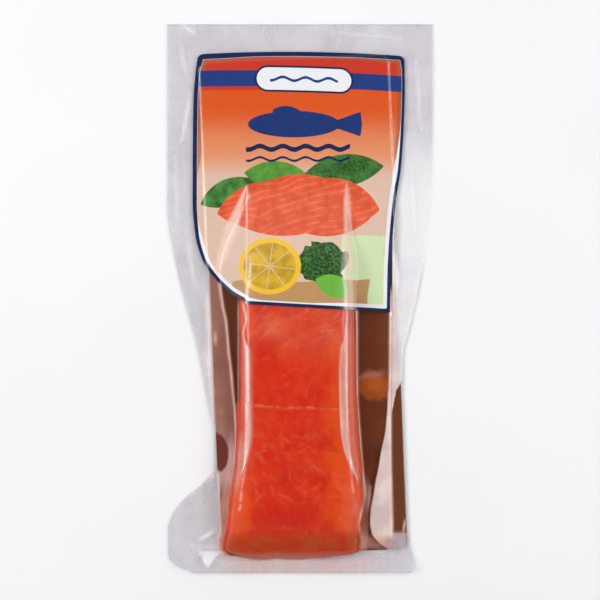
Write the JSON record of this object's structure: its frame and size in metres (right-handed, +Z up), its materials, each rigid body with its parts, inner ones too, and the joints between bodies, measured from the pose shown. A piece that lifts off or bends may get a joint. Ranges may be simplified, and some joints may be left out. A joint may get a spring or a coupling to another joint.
{
  "type": "vacuum pack of smoked salmon",
  "caption": "Smoked salmon fillet piece on a brown card, sealed in a clear vacuum bag with a printed label, lying on its back.",
  "frame": {"origin": "middle of the pack's box in X and Y, on its flat underside", "axes": "+X to the label's right, +Y towards the label's top along the pack's long side, +Z up out of the shown face"},
  "size_m": [0.1324, 0.274, 0.0177],
  "materials": {
    "pack": "clear glossy film drawn tight over a salmon fillet and a brown card",
    "label": "glossy printed label, orange field in a dark blue border"
  },
  "bodies": {
    "root": {"pack": "pack", "label": "label"}
  },
  "joints": []
}
